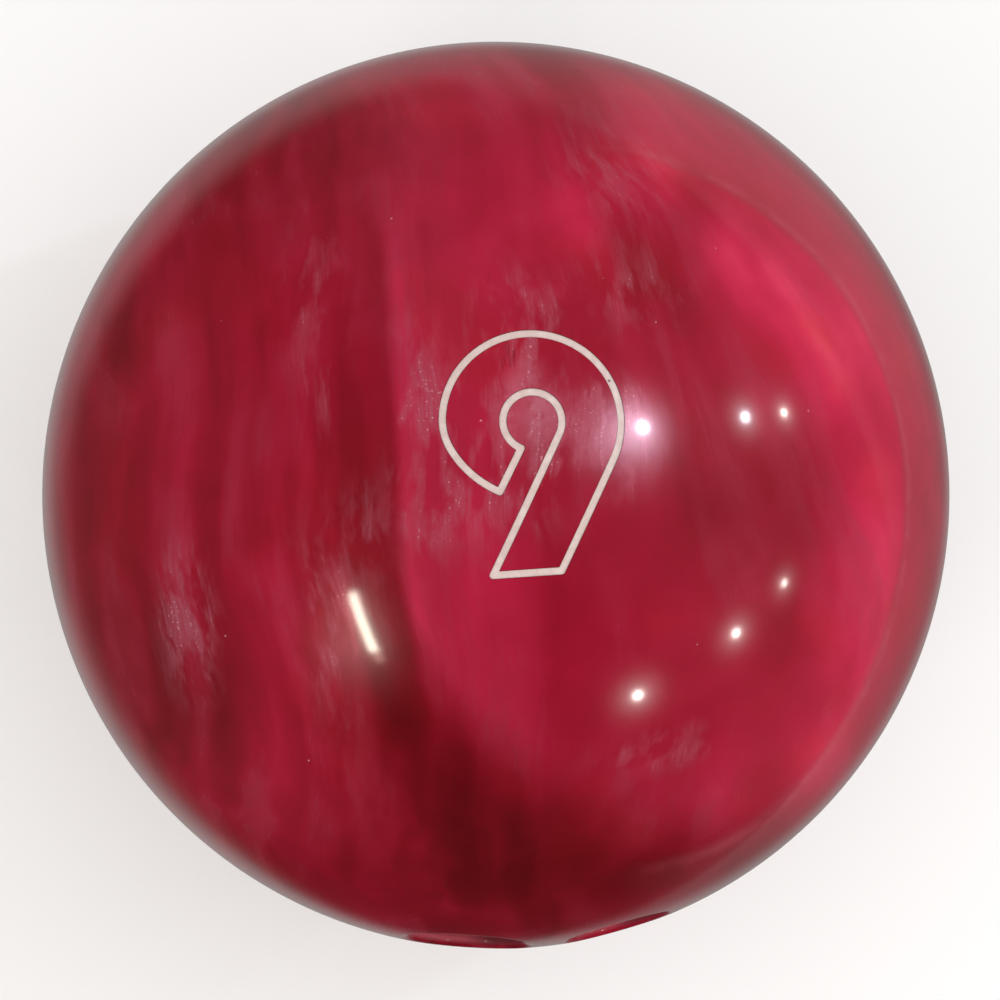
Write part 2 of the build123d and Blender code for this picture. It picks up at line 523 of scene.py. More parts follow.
def block_solid(name, gap):
    """The domed pancake, on the grip's axes."""
    low = CORE - BLOCK_HEIGHT + gap
    profile = [(0, low)]
    for step in range(7):
        a = math.pi / 2 * step / 6
        profile.append((
            BLOCK_RADIUS - gap - BLOCK_EDGE * (1 - math.sin(a)),
            low + BLOCK_EDGE * (1 - math.cos(a)),
        ))
    top = CORE - CAST_GAP - gap
    profile.append((BLOCK_RADIUS - gap, math.sqrt(top ** 2 - (BLOCK_RADIUS - gap) ** 2)))
    for step in range(1, 10):
        reach = (BLOCK_RADIUS - gap) * (1 - step / 10)
        profile.append((reach, math.sqrt(top ** 2 - reach ** 2)))
    profile.append((0, top))
    return bar(name, grip_frame(), profile, columns=96)


def build_block():
    block = block_solid("block", CAST_GAP)
    for hole in HOLES:
        cut(block, hole_cutter(hole, flare=False))
    clean_cut(block)
    shade_exactly(block, [(CORE - 2 * CAST_GAP, 1)])
    return block


def build_number_fill():
    line = number_line(0.3 * MM)
    edge = STROKE / 2
    fill = band_solid(
        "number_fill", offset_loop(line, edge), offset_loop(line, -edge),
        BALL - INLAY_RECESS, BALL - GROOVE_DEPTH + FILL_LIFT,
    )
    shade_exactly(fill, [(BALL - INLAY_RECESS, 1)])
    return fill


def build_mark_fill():
    fill = mark_solid("mark_fill", BALL - INLAY_RECESS, BALL - MARK_DEPTH + FILL_LIFT)
    shade_exactly(fill, [(BALL - INLAY_RECESS, 1)])
    return fill


def build_pin():
    top, side = BALL - PLUG_GAP, PIN_RADIUS - PLUG_GAP
    profile = [(0, CORE), (side, CORE), (side, math.sqrt(top ** 2 - side ** 2) - PLUG_BEVEL)]
    for step in range(8):
        reach = (side - PLUG_BEVEL) * (1 - step / 8)
        profile.append((reach, math.sqrt(top ** 2 - reach ** 2)))
    profile.append((0, top))
    pin = bar("pin_plug", grip_frame(), profile)
    shade_exactly(pin, [(top, 1)])
    return pin


cover = build_cover()
core = build_core()
block = build_block()
number_fill = build_number_fill()
mark_fill = build_mark_fill()
pin_plug = build_pin()

for piece, node in (
    (cover, "coverstock"),
    (core, "filler_core"),
    (block, "weight_block"),
    (number_fill, "number_inlay"),
    (mark_fill, "balance_mark_inlay"),
    (pin_plug, "locator_pin"),
):
    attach(piece, "root")
    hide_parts(node)
    piece.data.materials.clear()


# ---------------------------------------------------------------------------
# Shader helpers
# ---------------------------------------------------------------------------

class Graph:
    """Short names for the nodes of one material or world."""

    def __init__(self, owner):
        owner.use_nodes = True
        self.tree = owner.node_tree
        self.tree.nodes.clear()

    def node(self, kind, **settings):
        n = self.tree.nodes.new(kind)
        for key, value in settings.items():
            setattr(n, key, value)
        return n

    def plug(self, value, socket):
        if isinstance(value, bpy.types.NodeSocket):
            self.tree.links.new(value, socket)
        elif value is not None:
            socket.default_value = value

    def math(self, operation, a, b=None, c=None):
        n = self.node("ShaderNodeMath", operation=operation)
        for value, socket in zip((a, b, c), n.inputs):
            self.plug(value, socket)
        return n.outputs[0]

    def times(self, first, *others):
        for other in others:
            first = self.math("MULTIPLY", first, other)
        return first

    def plus(self, base, value, amount=None):
        """base + value, or base + value * amount."""
        if amount is None:
            return self.math("ADD", base, value)
        return self.math("MULTIPLY_ADD", value, amount, base)

    def vector(self, operation, a, b=None, scale=None):
        n = self.node("ShaderNodeVectorMath", operation=operation)
        self.plug(a, n.inputs[0])
        self.plug(b, n.inputs[1])
        if scale is not None:
            self.plug(scale, n.inputs["Scale"])
        return n.outputs["Value" if operation in ("DOT_PRODUCT", "LENGTH", "DISTANCE") else "Vector"]

    def split(self, v):
        n = self.node("ShaderNodeSeparateXYZ")
        self.plug(v, n.inputs[0])
        return n.outputs

    def join(self, x, y, z):
        n = self.node("ShaderNodeCombineXYZ")
        for value, socket in zip((x, y, z), n.inputs):
            self.plug(value, socket)
        return n.outputs[0]

    def noise(self, v, scale=1.0, detail=2.0, roughness=0.5, distortion=0.0, output=0):
        n = self.node("ShaderNodeTexNoise", noise_dimensions="3D")
        self.plug(v, n.inputs["Vector"])
        for key, value in (("Scale", scale), ("Detail", detail), ("Roughness", roughness), ("Distortion", distortion)):
            self.plug(value, n.inputs[key])
        return n.outputs[output]

    def cells(self, v, scale):
        """Distance to the nearest of scattered points, and that point's random color."""
        n = self.node("ShaderNodeTexVoronoi", feature="F1")
        self.plug(v, n.inputs["Vector"])
        self.plug(scale, n.inputs["Scale"])
        return n.outputs["Distance"], n.outputs["Color"]

    def step(self, value, low, high, out_low=0.0, out_high=1.0):
        """A smooth step from out_low at low to out_high at high; low may be the larger."""
        n = self.node("ShaderNodeMapRange", interpolation_type="SMOOTHSTEP")
        for v, socket in zip((value, low, high, out_low, out_high), n.inputs):
            self.plug(v, socket)
        return n.outputs[0]

    def mix(self, factor, a, b, blend="MIX"):
        n = self.node("ShaderNodeMix", data_type="RGBA", blend_type=blend, clamp_factor=True)
        self.plug(factor, n.inputs[0])
        self.plug(a if isinstance(a, bpy.types.NodeSocket) else (*a, 1), n.inputs[6])
        self.plug(b if isinstance(b, bpy.types.NodeSocket) else (*b, 1), n.inputs[7])
        return n.outputs[2]

    def ramp(self, value, stops):
        n = self.node("ShaderNodeValToRGB")
        n.color_ramp.interpolation = "LINEAR"
        elements = n.color_ramp.elements
        while len(elements) < len(stops):
            elements.new(0.5)
        for element, (place, color) in zip(elements, stops):
            element.position = place
            element.color = (*color, 1)
        self.plug(value, n.inputs[0])
        return n.outputs[0]

    def bump(self, height, strength, distance):
        n = self.node("ShaderNodeBump")
        self.plug(strength, n.inputs["Strength"])
        self.plug(distance, n.inputs["Distance"])
        self.plug(height, n.inputs["Height"])
        return n.outputs[0]

    def principled(self, **values):
        n = self.node("ShaderNodeBsdfPrincipled")
        for key, value in values.items():
            name = key.replace("_", " ").title().replace("Ior", "IOR")
            self.plug(value, n.inputs[name])
        out = self.node("ShaderNodeOutputMaterial")
        self.tree.links.new(n.outputs[0], out.inputs["Surface"])
        return n


def new_material(name):
    """A material, its graph, and the place on the ball in millimetres."""
    mat = bpy.data.materials.new(name)
    g = Graph(mat)
    return mat, g, g.vector("SCALE", g.node("ShaderNodeTexCoord").outputs["Object"], scale=1000.0)


# ---------------------------------------------------------------------------
# The pearl cover
# ---------------------------------------------------------------------------

# Soft ovals of tone on the numbered side, seen along -Z, in millimetres:
# middle x and y, half width, half height, and the tone added at the middle.
TONE_OVALS = (
    (30, 34, 22, 24, -0.06), (38, -12, 36, 32, -0.15), (-66, 50, 16, 26, -0.07), (-90, -22, 14, 30, -0.05),
    (-43, -30, 13, 54, 0.15), (-53, -28, 6, 46, 0.12), (-42, 34, 13, 48, 0.15), (-60, -18, 8, 36, 0.08),
    (-57, -50, 11, 30, 0.14), (-74, -20, 8, 30, 0.05), (-68, -52, 7, 24, -0.08), (2, 48, 24, 44, 0.14),
    (-10, 60, 16, 44, 0.08), (24, 58, 12, 20, 0.14), (34, 74, 14, 26, 0.06), (22, 25, 14, 20, 0.06),
    (-10, -18, 14, 22, 0.05), (8, -44, 14, 16, 0.07), (-12, -55, 12, 32, -0.10), (44, -46, 24, 20, -0.06),
    (-8, 84, 20, 20, 0.07), (-34, 86, 14, 20, 0.06), (-20, -90, 60, 18, -0.09), (12, 50, 9, 16, 0.17),
    (-7, 12, 17, 17, 0.11), (54, 27, 14, 24, 0.20), (41, 53, 9, 14, -0.26), (60, -34, 10, 28, 0.08),
    (-84, -50, 20, 40, -0.09), (-84, 36, 12, 22, -0.09), (-52, 60, 16, 26, -0.06), (12, 56, 14, 30, 0.08),
    (42, 34, 12, 22, 0.16), (64, 14, 12, 22, 0.13), (-44, 2, 14, 30, 0.11), (20, 4, 9, 9, 0.08),
    (-18, 0, 10, 40, 0.05), (-56, -78, 30, 18, -0.10), (-12, -62, 12, 18, -0.09), (-84, 34, 10, 20, -0.06),
    (66, -72, 16, 22, 0.14), (46, -68, 12, 14, -0.10),
)
# Where mica gathers in satin patches, the same way; the last is how much. Their pale colour is a painted sheen.
SATIN_SHEEN_OVALS = (
    (-1, 12, 17, 34, 2.2), (16, 3, 15, 17, 1.5), (-22, 4, 10, 34, 1.6), (-10, 0, 12, 30, 0.8),
    (-42, -30, 13, 32, 0.7), (-34, -12, 8, 16, 0.6), (-73, -28, 10, 24, 1.4), (24, 62, 20, 24, 0.6),
    (22, 34, 20, 16, 0.5), (26, -62, 24, 8, 0.6), (-42, 30, 10, 40, 0.5),
)
# The brightest mica, at and beside the number's bowl, painted as a pale violet sheen.
BRIGHT_SHEEN_OVALS = ((-1, 9, 9, 13, 1.6), (13, 2, 9, 10, 0.5))
CREASE_OVAL = (0, 28, 16, 22, 1.0)
PEARL_RAMP = (
    (0.0, (0.060, 0.0002, 0.0013)),
    (0.25, (0.150, 0.0008, 0.0055)),
    (0.5, (0.275, 0.0020, 0.0175)),
    (0.7, (0.390, 0.0055, 0.0345)),
    (0.85, (0.520, 0.0120, 0.058)),
    (1.0, (0.680, 0.0340, 0.095)),
)
FOLD_MIDDLE, FOLD_RADIUS = (32.5, -22.0), 60.0
CRESCENT_MIDDLE = (18.0, -6.0)
CRESCENT_STRETCH = (0.91, 0.80)          # its +Y half and its -Y half
# the second number is where the thin pale line of the painted table-edge reflection runs
CRESCENT_EDGE, PAINTED_EDGE_RADIUS = 64.6, 67.2
BACK_FOLD_MIDDLE = (-38, 18, -96)


def pearl_material():
    mat, g, p = new_material("pearl_cover")
    px, py, pz = g.split(p)[:3]

    def swirl(scale, amount, detail):
        n = g.noise(p, scale=scale, detail=detail, output="Color")
        return g.vector("SCALE", g.vector("SUBTRACT", n, (0.5, 0.5, 0.5)), scale=amount)

    def centred(value):
        return g.math("SUBTRACT", value, 0.5)

    # a slow and a quick warp bend every feature, as the poured resin flowed
    q = g.vector("ADD", g.vector("ADD", p, swirl(1 / 60, 20.0, 1.0)), swirl(1 / 15, 2.6, 2.0))
    x, y, z = g.split(q)[:3]
    on_top = g.step(pz, -45.0, 15.0)

    # streaks run along Y; on the +X side they fan out from beyond the +Y pole
    off = g.math("SUBTRACT", x, 5.0)
    fan = g.math("DIVIDE", 110.0, g.math("SUBTRACT", 150.0, y))
    u = g.plus(g.math("MINIMUM", off, 0.0), g.times(g.math("MAXIMUM", off, 0.0), fan))

    def stretched(a, b, c, detail, roughness):
        """Noise stretched by a different length along each of three (coordinate, mm)."""
        v = g.join(*(g.math("DIVIDE", coordinate, length) for coordinate, length in (a, b, c)))
        return g.noise(v, detail=detail, roughness=roughness)

    def streaks(across, along, depth, detail, roughness=0.5):
        return stretched((u, across), (y, along), (z, depth), detail, roughness)

    def strata(across, along, detail, roughness=0.5):
        return stretched((z, across), (y, along), (x, along), detail, roughness)

    broad = g.step(streaks(21.0, 150.0, 70.0, 2.0), 0.36, 0.64)
    band = g.step(streaks(9.0, 75.0, 34.0, 3.0), 0.36, 0.66)
    fibre = streaks(1.7, 34.0, 8.0, 4.0, 0.62)
    cloud = g.noise(q, scale=1 / 38, detail=3.0)
    mottle = g.noise(q, scale=1 / 9, detail=4.0, roughness=0.6)
    tone = g.plus(0.46, centred(broad), 0.12)
    tone = g.plus(tone, centred(band), g.plus(0.06, g.step(x, 12.0, -34.0), 0.08))
    tone = g.plus(tone, centred(cloud), 0.36)
    tone = g.plus(tone, centred(mottle), 0.13)

    # below the numbered side the flow turns: bands stacked up the ball's flanks
    flank = g.step(pz, 44.0, -8.0)
    layer = g.step(strata(13.0, 62.0, 3.0), 0.36, 0.64)
    tone = g.plus(tone, g.times(centred(layer), flank), 0.30)

    # the large fold: a sharp step along its -X side, softer round its -Y end
    fx = g.plus(px, g.math("SUBTRACT", x, px), 0.3)
    fy = g.plus(py, g.math("SUBTRACT", y, py), 0.3)
    dx = g.math("MINIMUM", g.math("SUBTRACT", fx, FOLD_MIDDLE[0]), 0.0)
    dy = g.math("SUBTRACT", fy, FOLD_MIDDLE[1])
    dy = g.plus(g.times(g.math("MINIMUM", dy, 0.0), 1.06), g.math("MAXIMUM", dy, 0.0), 0.12)
    fold = g.math("DIVIDE", g.math("SQRT", g.plus(g.times(dx, dx), g.times(dy, dy))), FOLD_RADIUS)
    softness = g.plus(g.step(fy, -28.0, -72.0, 0.03, 0.30), g.step(fy, 40.0, 85.0, 0.0, 0.22))
    softness = g.plus(softness, centred(cloud), 0.05)
    inside_fold = g.step(fold, g.plus(1.0, softness), g.math("SUBTRACT", 1.0, softness))
    inside_fold = g.times(inside_fold, on_top)
    lip = g.times(g.step(fold, 0.62, 0.99), inside_fold)
    depth = g.plus(g.step(y, 40.0, -25.0, 0.05, 0.14), g.step(y, -25.0, -60.0, 0.0, 0.17))
    shade = g.times(g.step(fold, 1.75, 1.0), depth, g.math("SUBTRACT", 1.0, inside_fold), on_top)
    tone = g.plus(tone, inside_fold, 0.10)
    tone = g.plus(tone, lip, 0.15)
    tone = g.math("SUBTRACT", tone, shade)

    def spot(cx, cy, wide, tall, amount):
        """A soft oval on the numbered side."""
        away = g.join(g.math("DIVIDE", g.math("SUBTRACT", fx, cx), wide),
                      g.math("DIVIDE", g.math("SUBTRACT", fy, cy), tall), 0.0)
        return g.times(g.step(g.vector("LENGTH", away), 1.0, 0.0), on_top, amount)

    # the bright crescent along the +X side; beyond its outer edge a painted reflection of the pale table top, with a
    # thin painted reflection of the table's edge along it
    far = g.math("SUBTRACT", fy, CRESCENT_MIDDLE[1])
    far = g.plus(g.times(g.math("MAXIMUM", far, 0.0), CRESCENT_STRETCH[0]),
                 g.times(g.math("MINIMUM", far, 0.0), CRESCENT_STRETCH[1]))
    reach = g.vector("LENGTH", g.join(g.math("SUBTRACT", fx, CRESCENT_MIDDLE[0]), far, 0.0))
    right = g.times(g.step(fx, 14.0, 46.0), g.step(pz, -32.0, 24.0))
    crescent = g.times(
        g.step(reach, 38.0, 60.0), right,
        g.step(fy, -82.0, -16.0, 0.42, 1.0),
        g.step(reach, 66.8, CRESCENT_EDGE, 0.52, 1.0),
        g.step(pz, 4.0, 44.0, 0.4, 1.0),
    )
    # painted reflection: pale pink-grey beyond the crescent, the table top as mirrored
    painted_table_reflection = g.times(g.step(reach, CRESCENT_EDGE, 67.0), right, g.step(pz, 4.0, 44.0, 0.2, 1.0))
    painted_table_edge = g.step(g.math("ABSOLUTE", g.math("SUBTRACT", reach, PAINTED_EDGE_RADIUS)), 1.5, 0.0)
    painted_table_edge = g.times(painted_table_edge, right, g.step(mottle, 0.35, 0.6))
    tone = g.plus(tone, crescent, 0.29)

    # painted light: a lighter band toward the -X limb, where the pale surroundings would light the ball; then the
    # single lobes, and a fold on the lower half
    rim = g.vector("LENGTH", g.join(px, py, 0.0))
    tone = g.plus(tone, g.times(g.step(rim, 86.0, 106.0), g.step(px, 20.0, -40.0)), 0.09)
    for oval in TONE_OVALS:
        tone = g.plus(tone, spot(*oval))
    back_fold = g.vector("LENGTH", g.vector("SUBTRACT", q, BACK_FOLD_MIDDLE))
    tone = g.plus(tone, g.times(g.step(back_fold, 64.0, 61.0), g.step(back_fold, 20.0, 60.0)), 0.18)
    tone = g.plus(tone, g.times(g.step(back_fold, 60.0, 63.0), g.step(back_fold, 96.0, 63.0)), -0.14)

    color = g.ramp(tone, PEARL_RAMP)
    warm = g.step(g.noise(q, scale=1 / 26, detail=1.0), 0.48, 0.66)
    color = g.mix(g.times(warm, 0.55), color, (1.0, 1.15, 0.62), blend="MULTIPLY")
    # painted reflection of the table top and of its edge, mixed into the colour
    color = g.mix(g.times(painted_table_reflection, 0.10), color, (0.62, 0.19, 0.23))
    color = g.mix(g.times(painted_table_edge, 0.07), color, (0.75, 0.24, 0.30))

    # mica that lies flat in the flow: real metallic silk, while its pale silk, satin patches and threads are a painted
    # sheen in the colour
    fine = g.step(fibre, 0.38, 0.66)
    thread = g.step(streaks(0.8, 16.0, 4.0, 3.0, 0.6), 0.50, 0.68)
    patches = g.step(streaks(5.0, 17.0, 10.0, 3.0, 0.6), 0.44, 0.62)
    satin_sheen = spot(*SATIN_SHEEN_OVALS[0])
    for oval in SATIN_SHEEN_OVALS[1:]:
        satin_sheen = g.plus(satin_sheen, spot(*oval))
    satin_sheen = g.times(g.math("MINIMUM", satin_sheen, 1.0), patches)
    sheen = g.times(g.step(strata(5.0, 22.0, 3.0, 0.6), 0.50, 0.66), flank)
    sheen = g.times(sheen, g.step(strata(1.2, 20.0, 3.0, 0.6), 0.36, 0.62, 0.15, 0.75))
    bright_sheen = g.plus(spot(*BRIGHT_SHEEN_OVALS[0]), spot(*BRIGHT_SHEEN_OVALS[1]))
    bright_sheen = g.math("MINIMUM", g.times(bright_sheen, g.step(mottle, 0.36, 0.60, 0.3, 1.0)), 1.0)
    satin_sheen = g.math("MAXIMUM", g.math("MAXIMUM", satin_sheen, sheen), bright_sheen)
    painted_gleam = g.times(satin_sheen, g.plus(g.plus(0.28, fine, 0.30), thread, 0.38))
    sheet = g.times(g.step(band, 0.35, 0.95), g.step(cloud, 0.36, 0.6))
    sheet = g.math("MINIMUM", g.plus(sheet, lip, 0.6), 1.0)
    silk_and_sheen = g.times(sheet, g.plus(0.3, fine, 0.35), g.step(tone, 0.25, 0.6))
    silk_and_sheen = g.math("MINIMUM", g.plus(painted_gleam, silk_and_sheen), 1.0)
    # painted sheen: pale pink and violet mixed in where the mica would mirror the lamps
    color = g.mix(g.times(silk_and_sheen, 0.10), color, (0.74, 0.20, 0.30))
    color = g.mix(g.times(painted_gleam, 0.34), color, (0.70, 0.25, 0.34))
    color = g.mix(g.times(bright_sheen, 0.20), color, (0.70, 0.36, 0.46))
    crease = g.times(g.step(streaks(1.5, 14.0, 6.0, 3.0, 0.6), 0.36, 0.27), spot(*CREASE_OVAL))
    color = g.mix(g.times(crease, 0.7), color, (0.10, 0.002, 0.010))

    # single flakes with painted glints, and a few specks of dust
    flake_and_glint = g.step(g.split(g.cells(p, 3.4)[1])[0], 0.93, 0.99)
    flake_and_glint = g.times(flake_and_glint, g.step(painted_gleam, 0.15, 0.7))
    color = g.mix(g.times(flake_and_glint, 0.7), color, (0.90, 0.48, 0.52))
    nearness, pick = g.cells(p, 0.11)
    speck = g.times(g.step(nearness, 0.034, 0.014), g.step(g.split(pick)[1], 0.45, 0.5))
    color = g.mix(g.times(speck, 0.45), color, (0.75, 0.40, 0.44))

    # below the ball's surface: drilled walls and the engraved groove, not polished; painted shade inside the holes and
    # on the groove's walls
    depth_in = g.vector("LENGTH", p)
    below_number = g.step(pz, 90.0, 70.0)
    drilled = g.times(g.step(depth_in, 108.0, 106.4), below_number)
    engraved = g.times(g.step(depth_in, 108.58, 108.45), g.step(pz, 90.0, 95.0))
    color = g.mix(g.times(drilled, 0.7), color, (0.54, 0.090, 0.125))
    # painted shade: the +X side of each finger hole's mouth darkened, as if lit from the other side
    painted_bore_shade = g.plus(g.times(g.step(px, -17.0, -8.0), g.step(px, 5.0, 3.0)), g.step(px, 19.0, 26.0))
    painted_bore_shade = g.times(painted_bore_shade, g.step(pz, -20.0, 0.0), g.step(depth_in, 108.5, 106.8, 0.0, 0.8))
    # painted shade: the holes darker the deeper they go
    painted_deep_shade = g.times(g.step(depth_in, 106.8, 102.0, 0.0, 0.7), below_number)
    color = g.mix(g.math("MAXIMUM", painted_bore_shade, painted_deep_shade), color, (0.075, 0.002, 0.006))
    # painted shade: the groove's walls darkened into the thin dark line round the paint
    color = g.mix(g.times(engraved, 0.8), color, (0.035, 0.004, 0.006))

    height = g.plus(g.times(mottle, 0.5), fibre, 0.55)
    height = g.plus(height, flake_and_glint, 0.3)
    g.principled(
        base_color=color,
        metallic=g.times(silk_and_sheen, 0.30),
        roughness=g.plus(g.plus(0.25, silk_and_sheen, 0.10), drilled, 0.30),
        specular_ior_level=0.14,
        ior=1.5,
        normal=g.bump(height, 0.10, 0.0005),
        coat_weight=g.math("SUBTRACT", 1.0, g.math("MAXIMUM", drilled, engraved)),
        coat_roughness=0.09,
        coat_ior=1.5,
    )
    return mat


def fill_material():
    """The pale paint set in the number: satin, a little uneven, specks of grime."""
    mat, g, p = new_material("number_paint")
    patch = g.noise(p, scale=0.5, detail=3.0, roughness=0.6)
    grain = g.noise(p, scale=6.0, detail=2.0, roughness=0.6)
    color = g.mix(g.step(patch, 0.35, 0.7), (0.62, 0.475, 0.44), (0.70, 0.565, 0.53))
    color = g.mix(g.step(grain, 0.55, 0.75, 0.0, 0.35), color, (0.50, 0.36, 0.33))
    nearness, pick = g.cells(p, 0.42)
    speck = g.times(g.step(nearness, 0.16, 0.08), g.step(g.split(pick)[0], 0.84, 0.88))
    color = g.mix(g.times(speck, 0.8), color, (0.06, 0.020, 0.022))
    g.principled(
        base_color=color,
        roughness=g.step(grain, 0.3, 0.7, 0.42, 0.56),
        specular_ior_level=0.4,
        normal=g.bump(g.plus(grain, patch), 0.25, 0.0001),
    )
    return mat


def plug_material():
    """The cast-in locator plug: pale pink pearl, polished flush with the cover."""
    mat, g, p = new_material("pin_pearl")
    curl = g.noise(p, scale=0.22, detail=3.0, roughness=0.55, distortion=1.4)
    fine = g.noise(p, scale=1.6, detail=3.0, roughness=0.6)
    color = g.mix(g.step(curl, 0.36, 0.64), (0.62, 0.40, 0.38), (0.80, 0.66, 0.62))
    color = g.mix(g.step(fine, 0.58, 0.75, 0.0, 0.3), color, (0.70, 0.28, 0.30))
    g.principled(
        base_color=color,
        roughness=g.step(fine, 0.3, 0.7, 0.24, 0.34),
        specular_ior_level=0.35,
        normal=g.bump(fine, 0.12, 0.0002),
        coat_weight=1.0,
        coat_roughness=0.09,
        coat_ior=1.5,
    )
    return mat


def cast_material(name, dark, light, bead, roughness):
    """Filled casting resin: mottled body and small beads."""
    mat, g, p = new_material(name)
    body = g.noise(p, scale=1 / 16, detail=5.0, roughness=0.6)
    nearness, pick = g.cells(p, 0.9)
    beads = g.times(g.step(nearness, 0.34, 0.22), g.step(g.split(pick)[0], 0.5, 0.6))
    color = g.mix(g.step(body, 0.34, 0.66), dark, light)
    color = g.mix(g.times(beads, 0.6), color, bead)
    g.principled(
        base_color=color,
        roughness=g.step(body, 0.3, 0.7, roughness - 0.06, roughness + 0.06),
        specular_ior_level=0.35,
        normal=g.bump(g.plus(body, beads, 0.5), 0.4, 0.0004),
    )
    return mat


def floor_material():
    """Matt pale paper with a faint tooth."""
    mat, g, p = new_material("floor_paper")
    weave = g.noise(p, scale=0.26, detail=3.0, roughness=0.6)
    tint = g.noise(p, scale=0.002)
    color = g.mix(g.step(tint, 0.3, 0.7), (0.905, 0.902, 0.897), (0.925, 0.923, 0.919))
    g.principled(base_color=color, roughness=0.92, specular_ior_level=0.1, normal=g.bump(weave, 0.05, 0.0004))
    return mat


FILLER_COLORS = ((0.42, 0.35, 0.25), (0.56, 0.48, 0.36), (0.66, 0.60, 0.50))
BLOCK_COLORS = ((0.075, 0.105, 0.115), (0.12, 0.16, 0.17), (0.25, 0.29, 0.30))
cover.data.materials.append(pearl_material())
core.data.materials.append(cast_material("filler_resin", *FILLER_COLORS, 0.62))
block.data.materials.append(cast_material("block_resin", *BLOCK_COLORS, 0.5))
number_fill.data.materials.append(fill_material())
mark_fill.data.materials.append(number_fill.data.materials[0])
pin_plug.data.materials.append(plug_material())


# ---------------------------------------------------------------------------
# Floor, light and camera
# ---------------------------------------------------------------------------

scene = bpy.context.scene
scene.view_settings.view_transform = "Standard"

FLOOR_HALF = 4
floor = new_object(
    "floor",
    [(x * FLOOR_HALF, y * FLOOR_HALF, -BALL) for x, y in ((-1, -1), (1, -1), (1, 1), (-1, 1))],
    [(0, 1, 2, 3)],
)
floor.data.materials.append(floor_material())
floor.visible_glossy = False


def lamp(name, place, size, radiance, color=(1, 1, 1), size_y=None, glossy=True, along=None):
    """An area light that faces the ball; along is the way its size_y points."""
    data = bpy.data.lights.new(name, "AREA")
    data.shape = "RECTANGLE" if size_y else "DISK"
    data.size = size
    if size_y:
        data.size_y = size_y
    area = size * size_y if size_y else math.pi * size * size / 4
    data.energy = radiance * area * math.pi
    data.color = color
    obj = bpy.data.objects.new(name, data)
    scene.collection.objects.link(obj)
    obj.location = place
    obj.rotation_mode = "QUATERNION"
    obj.rotation_quaternion = Vector(place).to_track_quat("Z", "Y")
    if along is not None:
        z_axis = Vector(place).normalized()
        x_axis = Vector(along).cross(z_axis).normalized()
        turn = Matrix((x_axis, z_axis.cross(x_axis), z_axis)).transposed()
        obj.rotation_quaternion = turn.to_quaternion()
    obj.visible_glossy = glossy
    obj.visible_camera = False


# Two rows of three ceiling lamps, a tube with a softer end, and two soft fills.
CEILING = 1.5
COOL, WARM = (0.80, 0.88, 1.0), (1.0, 0.94, 0.86)
CEILING_LAMPS = (
    (0.895, 0.285, 0.062, 170, COOL),
    (2.44, 0.52, 0.078, 140, COOL),
    (4.26, 0.85, 0.09, 130, WARM),
    (1.28, -2.39, 0.085, 150, WARM),
    (2.96, -2.15, 0.09, 140, WARM),
    (4.86, -1.98, 0.09, 110, WARM),
)
TUBE_WAY = (0.02, -0.56, 0.0)
for number, (lx, ly, size, radiance, color) in enumerate(CEILING_LAMPS):
    lamp("lamp_%d" % (number + 1), (lx, ly, CEILING), size, radiance, color)
lamp("tube", (-1.345, -1.125, CEILING), 0.085, 33, (1.0, 0.98, 0.80), size_y=0.56, along=TUBE_WAY)
lamp("tube_end", (-1.312, -1.50, CEILING), 0.09, 7, (1.0, 0.62, 0.48), size_y=0.16, along=TUBE_WAY)
lamp("side_fill", (1.5, -0.95, 0.12), 0.9, 1.1, size_y=0.6, glossy=False)
lamp("soft_key", (1.9, 0.7, 1.3), 2.0, 0.60, size_y=2.0, glossy=False)

world = bpy.data.worlds.new("studio")
scene.world = world
g = Graph(world)
heading = g.node("ShaderNodeTexCoord").outputs["Generated"]
hx, hy, hz = g.split(heading)[:3]


def toward(way, low, high, strength):
    """A soft disc of light on the sky; low and high are cosines."""
    return g.step(g.vector("DOT_PRODUCT", heading, tuple(unit(way))), low, high, 0.0, strength)


def haze(way, sharpness, strength):
    """The glow that scuffed gloss spreads round a lamp's mirror image."""
    near = g.math("MAXIMUM", g.vector("DOT_PRODUCT", heading, tuple(unit(way))), 0.0)
    return g.times(g.math("POWER", near, sharpness), strength)


# What the gloss mirrors: a dim room, and below its skyline a pale table top.
# The skyline is azimuth from -Y toward +X, then elevation, both in degrees.
SKYLINE = (
    (-180, -33), (-155, -35), (-95, -48), (-50, -51), (0, -66), (15, -58), (32, -45), (56, -32),
    (80, -21), (92, -11), (114, -1), (128, 0), (141, -2), (157, -9), (180, -33),
)
ROOM_GLOWS = (
    ((1, -0.1, 0.1), 0.35, 0.95, 0.09),
    ((0.15, 1, 0.2), 0.5, 0.95, 0.07),
    ((0.35, 0.1, 1), 0.4, 0.95, 0.05),
    ((-1, -0.1, 0), 0.4, 0.9, 0.05),
)
ROOM_DIM = ((-0.1, -0.75, 0.6), 0.75, 0.93, 0.9)
ROOM_LEVEL = 0.012
LAMP_HAZES = (
    ((0.849, 0.182, 0.497), 600, 3.5),
    ((0.932, 0.186, 0.311), 900, 2.5),
    ((0.42, -0.778, 0.468), 420, 3.2),
    ((0.754, -0.546, 0.364), 600, 3.0),
    ((0.894, -0.363, 0.262), 900, 2.0),
    ((-0.62, -0.58, 0.53), 110, 1.1),
)
COOL_HAZES = (((0.500, 0.160, 0.851), 230, 10.0), ((0.45, 0.13, 0.88), 90, 2.4))
ROOM_TINT, HAZE_TINT = (1.0, 0.96, 0.93), (0.86, 0.84, 1.08)

